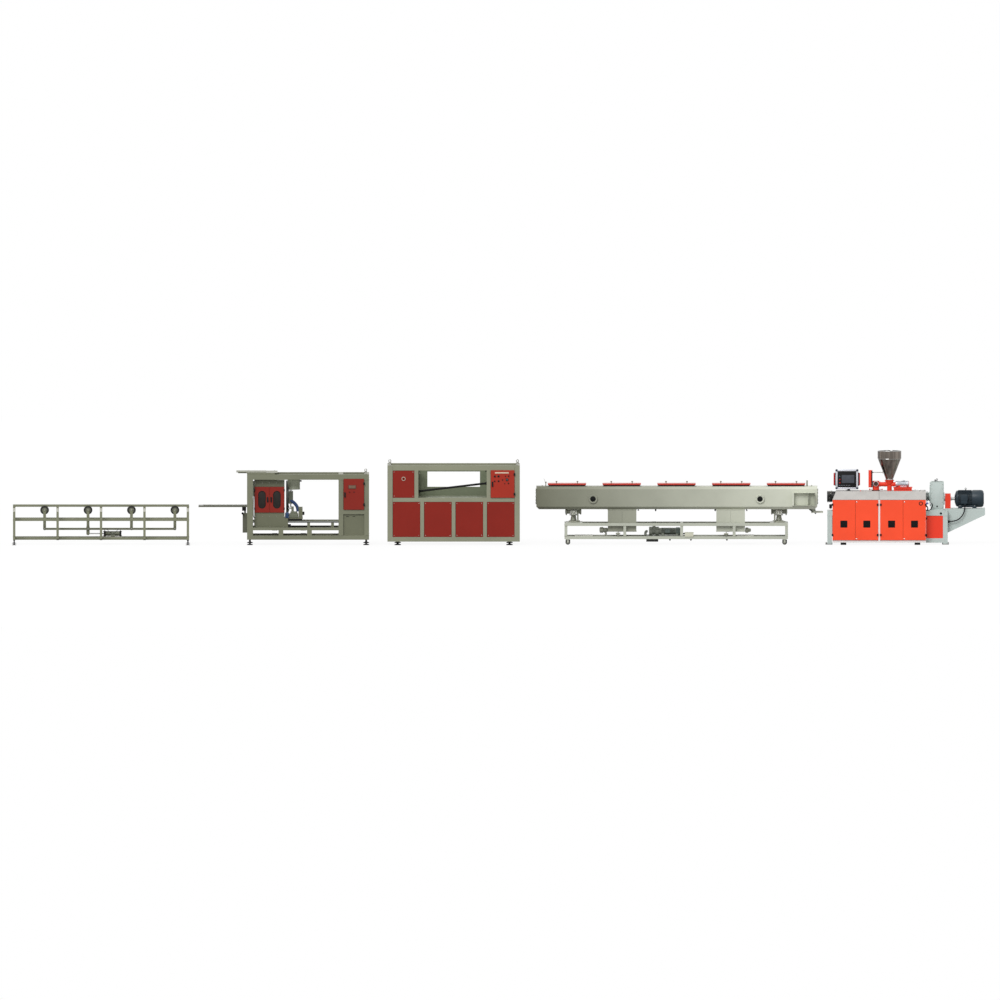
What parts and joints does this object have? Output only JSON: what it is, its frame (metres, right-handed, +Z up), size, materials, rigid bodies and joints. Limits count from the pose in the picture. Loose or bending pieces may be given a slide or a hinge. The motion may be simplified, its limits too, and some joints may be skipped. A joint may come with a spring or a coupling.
{
  "type": "plastic pipe extrusion line",
  "caption": "Plastic pipe extrusion line: extruder with hopper, cooling tank, haul-off, travelling cutter and tipping stacker in a row.",
  "frame": {"origin": "centre of the line's footprint on the floor; the pipe's axis is above Y = 0", "axes": "+X along the line towards the extruder's motor, -Y towards the operator, +Z up"},
  "size_m": [20.432, 1.2343, 1.961],
  "materials": {
    "stacker_paint": "semi-gloss grey-green enamel",
    "machine_paint": "semi-gloss grey-green enamel",
    "tank_paint": "semi-gloss pale grey-green enamel",
    "extruder_paint": "semi-gloss pale grey-green enamel",
    "white_paint": "semi-gloss white enamel",
    "red_paint": "semi-gloss red enamel",
    "lid_red": "semi-gloss red enamel on a rubber frame",
    "door_orange": "smooth orange enamel",
    "orange_paint": "smooth red-orange enamel",
    "motor_paint": "dark blue-grey enamel",
    "hood_steel": "satin sheet",
    "hopper_steel": "polished stainless sheet",
    "box_aluminium": "satin extrusion with a dark front",
    "cylinder_aluminium": "dull anodised",
    "chrome_rod": "bright",
    "saw_steel": "painted housing",
    "support_steel": "dull machined steel",
    "pump_iron": "painted casting",
    "barrel_iron": "oiled black",
    "sight_glass": "painted flange with a dark pane",
    "black_rubber": "matt",
    "cable_rubber": "matt",
    "tyre_rubber": "matt",
    "caster_rubber": "matt"
  },
  "bodies": {
    "root": {"stacker_frame": "stacker_paint", "stacker_cylinder": "cylinder_aluminium", "cutter_frame": "machine_paint", "cutter_cabinet": "machine_paint", "cutter_outfeed_tray": "machine_paint", "cutter_top_plate": "machine_paint", "hauloff_frame": "machine_paint", "hauloff_panels": "red_paint", "hauloff_inner_walls": "machine_paint", "hauloff_control_cabinet": "machine_paint", "hauloff_diagonal_bar": "black_rubber", "tank_shell": "tank_paint", "tank_sight_glasses": "sight_glass", "tank_water_boxes": "tank_paint", "tank_base_frame": "tank_paint", "tank_supports": "support_steel", "tank_pump_set": "pump_iron", "extruder_base_frame": "extruder_paint", "extruder_side_panels": "orange_paint", "extruder_cabinet": "white_paint", "extruder_hood": "hood_steel", "extruder_barrel": "barrel_iron", "extruder_gearbox": "extruder_paint", "extruder_coupling_guard": "orange_paint", "extruder_motor": "motor_paint", "extruder_motor_cable": "cable_rubber", "extruder_hopper": "hopper_steel", "extruder_feed_cup": "orange_paint", "extruder_feeder": "orange_paint", "extruder_belt_guard": "orange_paint"},
    "cutter_carriage": {"cutter_carriage": "machine_paint", "cutter_saw_head": "saw_steel"},
    "stacker_arm_1": {"stacker_arm_1": "stacker_paint"},
    "stacker_arm_2": {"stacker_arm_2": "stacker_paint"},
    "stacker_arm_3": {"stacker_arm_3": "stacker_paint"},
    "stacker_arm_4": {"stacker_arm_4": "stacker_paint"},
    "stacker_link_bar": {"stacker_link_bar": "stacker_paint"},
    "stacker_piston_rod": {"stacker_piston_rod": "chrome_rod"},
    "stacker_wheel_1": {"stacker_wheel_1": "tyre_rubber"},
    "stacker_wheel_2": {"stacker_wheel_2": "tyre_rubber"},
    "stacker_wheel_3": {"stacker_wheel_3": "tyre_rubber"},
    "stacker_wheel_4": {"stacker_wheel_4": "tyre_rubber"},
    "cutter_guard_door_left": {"cutter_guard_door_left": "red_paint"},
    "cutter_guard_door_right": {"cutter_guard_door_right": "red_paint"},
    "cutter_cabinet_door": {"cutter_cabinet_door": "red_paint"},
    "hauloff_control_door": {"hauloff_control_door": "red_paint"},
    "tank_lid_1": {"tank_lid_1": "lid_red"},
    "tank_lid_2": {"tank_lid_2": "lid_red"},
    "tank_lid_3": {"tank_lid_3": "lid_red"},
    "tank_lid_4": {"tank_lid_4": "lid_red"},
    "tank_lid_5": {"tank_lid_5": "lid_red"},
    "tank_wheel_1": {"tank_wheel_1": "caster_rubber"},
    "tank_wheel_2": {"tank_wheel_2": "caster_rubber"},
    "tank_wheel_3": {"tank_wheel_3": "caster_rubber"},
    "tank_wheel_4": {"tank_wheel_4": "caster_rubber"},
    "extruder_door_1": {"extruder_door_1": "door_orange"},
    "extruder_door_2": {"extruder_door_2": "door_orange"},
    "extruder_door_3": {"extruder_door_3": "door_orange"},
    "extruder_door_4": {"extruder_door_4": "door_orange"},
    "extruder_control_box": {"extruder_control_box": "box_aluminium"}
  },
  "joints": [
    {"name": "stacker_tilt_1", "type": "hinge", "parent": "root", "child": "stacker_arm_1", "pos_m": [-9.5326, 0, 0.52], "axis": [0, -1, 0], "range_deg": [0, 56]},
    {"name": "stacker_tilt_2", "type": "hinge", "parent": "root", "child": "stacker_arm_2", "pos_m": [-8.6206, 0, 0.52], "axis": [0, -1, 0], "range_deg": [0, 56]},
    {"name": "stacker_tilt_3", "type": "hinge", "parent": "root", "child": "stacker_arm_3", "pos_m": [-7.7086, 0, 0.52], "axis": [0, -1, 0], "range_deg": [0, 56]},
    {"name": "stacker_tilt_4", "type": "hinge", "parent": "root", "child": "stacker_arm_4", "pos_m": [-6.7966, 0, 0.52], "axis": [0, -1, 0], "range_deg": [0, 56]},
    {"name": "stacker_link_pivot", "type": "hinge", "parent": "stacker_arm_1", "child": "stacker_link_bar", "pos_m": [-9.5326, -0.06, 0.32], "axis": [0, -1, 0], "range_deg": [-56, 0]},
    {"name": "stacker_rod_slide", "type": "slide", "parent": "root", "child": "stacker_piston_rod", "axis": [1, 0, 0], "range_m": [0, 0.261]},
    {"name": "stacker_wheel_spin_1", "type": "hinge", "parent": "stacker_arm_1", "child": "stacker_wheel_1", "pos_m": [-9.5326, 0, 0.713], "axis": [0, 1, 0], "continuous": true},
    {"name": "stacker_wheel_spin_2", "type": "hinge", "parent": "stacker_arm_2", "child": "stacker_wheel_2", "pos_m": [-8.6206, 0, 0.713], "axis": [0, 1, 0], "continuous": true},
    {"name": "stacker_wheel_spin_3", "type": "hinge", "parent": "stacker_arm_3", "child": "stacker_wheel_3", "pos_m": [-7.7086, 0, 0.713], "axis": [0, 1, 0], "continuous": true},
    {"name": "stacker_wheel_spin_4", "type": "hinge", "parent": "stacker_arm_4", "child": "stacker_wheel_4", "pos_m": [-6.7966, 0, 0.713], "axis": [0, 1, 0], "continuous": true},
    {"name": "cutter_carriage_slide", "type": "slide", "parent": "root", "child": "cutter_carriage", "axis": [1, 0, 0], "range_m": [0, 0.64]},
    {"name": "cutter_guard_left_hinge", "type": "hinge", "parent": "cutter_carriage", "child": "cutter_guard_door_left", "pos_m": [-5.122, -0.4433, 0.95], "axis": [0, 0, -1], "range_deg": [0, 90]},
    {"name": "cutter_guard_right_hinge", "type": "hinge", "parent": "cutter_carriage", "child": "cutter_guard_door_right", "pos_m": [-4.5, -0.4433, 0.95], "axis": [0, 0, 1], "range_deg": [0, 90]},
    {"name": "cutter_cabinet_hinge", "type": "hinge", "parent": "root", "child": "cutter_cabinet_door", "pos_m": [-2.825, -0.5703, 1.05], "axis": [0, 0, 1], "range_deg": [0, 110]},
    {"name": "hauloff_door_hinge", "type": "hinge", "parent": "root", "child": "hauloff_control_door", "pos_m": [0.333, -0.6203, 1.28], "axis": [0, 0, 1], "range_deg": [0, 110]},
    {"name": "tank_lid_hinge_1", "type": "hinge", "parent": "root", "child": "tank_lid_1", "pos_m": [1.437, 0.2, 1.243], "axis": [-1, 0, 0], "range_deg": [0, 100]},
    {"name": "tank_lid_hinge_2", "type": "hinge", "parent": "root", "child": "tank_lid_2", "pos_m": [2.587, 0.2, 1.243], "axis": [-1, 0, 0], "range_deg": [0, 100]},
    {"name": "tank_lid_hinge_3", "type": "hinge", "parent": "root", "child": "tank_lid_3", "pos_m": [3.737, 0.2, 1.243], "axis": [-1, 0, 0], "range_deg": [0, 100]},
    {"name": "tank_lid_hinge_4", "type": "hinge", "parent": "root", "child": "tank_lid_4", "pos_m": [4.887, 0.2, 1.243], "axis": [-1, 0, 0], "range_deg": [0, 100]},
    {"name": "tank_lid_hinge_5", "type": "hinge", "parent": "root", "child": "tank_lid_5", "pos_m": [6.037, 0.2, 1.243], "axis": [-1, 0, 0], "range_deg": [0, 100]},
    {"name": "tank_wheel_spin_1", "type": "hinge", "parent": "root", "child": "tank_wheel_1", "pos_m": [1.456, -0.35, 0.05], "axis": [0, 1, 0], "continuous": true},
    {"name": "tank_wheel_spin_2", "type": "hinge", "parent": "root", "child": "tank_wheel_2", "pos_m": [1.456, 0.35, 0.05], "axis": [0, 1, 0], "continuous": true},
    {"name": "tank_wheel_spin_3", "type": "hinge", "parent": "root", "child": "tank_wheel_3", "pos_m": [6.008, -0.35, 0.05], "axis": [0, 1, 0], "continuous": true},
    {"name": "tank_wheel_spin_4", "type": "hinge", "parent": "root", "child": "tank_wheel_4", "pos_m": [6.008, 0.35, 0.05], "axis": [0, 1, 0], "continuous": true},
    {"name": "extruder_door_hinge_1", "type": "hinge", "parent": "root", "child": "extruder_door_1", "pos_m": [7.0143, -0.5003, 0.5235], "axis": [0, 0, -1], "range_deg": [0, 110]},
    {"name": "extruder_door_hinge_2", "type": "hinge", "parent": "root", "child": "extruder_door_2", "pos_m": [7.9732, -0.5003, 0.5235], "axis": [0, 0, 1], "range_deg": [0, 90]},
    {"name": "extruder_door_hinge_3", "type": "hinge", "parent": "root", "child": "extruder_door_3", "pos_m": [8.0158, -0.5003, 0.5235], "axis": [0, 0, -1], "range_deg": [0, 90]},
    {"name": "extruder_door_hinge_4", "type": "hinge", "parent": "root", "child": "extruder_door_4", "pos_m": [8.9747, -0.5003, 0.5235], "axis": [0, 0, 1], "range_deg": [0, 110]},
    {"name": "control_box_swivel", "type": "hinge", "parent": "root", "child": "extruder_control_box", "pos_m": [7.353, 0, 1.137], "axis": [0, 0, 1], "range_deg": [-60, 60]}
  ],
  "couplings": [
    {"joint": "stacker_tilt_2", "follows": "stacker_tilt_1", "ratio": 1},
    {"joint": "stacker_tilt_3", "follows": "stacker_tilt_1", "ratio": 1},
    {"joint": "stacker_tilt_4", "follows": "stacker_tilt_1", "ratio": 1},
    {"joint": "stacker_link_pivot", "follows": "stacker_tilt_1", "ratio": -1},
    {"joint": "stacker_rod_slide", "follows": "stacker_tilt_1", "m_per_rad": 0.26602}
  ]
}
